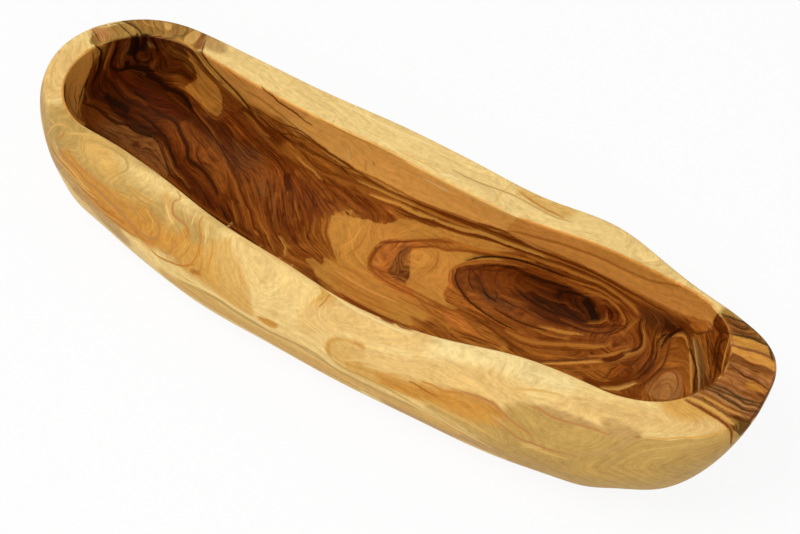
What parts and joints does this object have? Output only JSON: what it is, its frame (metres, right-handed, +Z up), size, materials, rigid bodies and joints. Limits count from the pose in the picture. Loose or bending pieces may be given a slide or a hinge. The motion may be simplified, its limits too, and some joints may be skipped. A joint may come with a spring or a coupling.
{
  "type": "dough bowl",
  "caption": "Long carved dough bowl: one block of olive wood with a sawn top, a natural sloping front and a round-bottomed trough.",
  "frame": {"origin": "centre of the bowl's footprint, on the surface that the foot rests on", "axes": "+X along the bowl towards its wide-rimmed end, +Y towards the straight sawn back, +Z up out of the mouth"},
  "size_m": [0.4026, 0.13, 0.058],
  "materials": {
    "olive_wood": "oiled, semi-gloss"
  },
  "bodies": {
    "root": {"bowl": "olive_wood"}
  },
  "joints": []
}
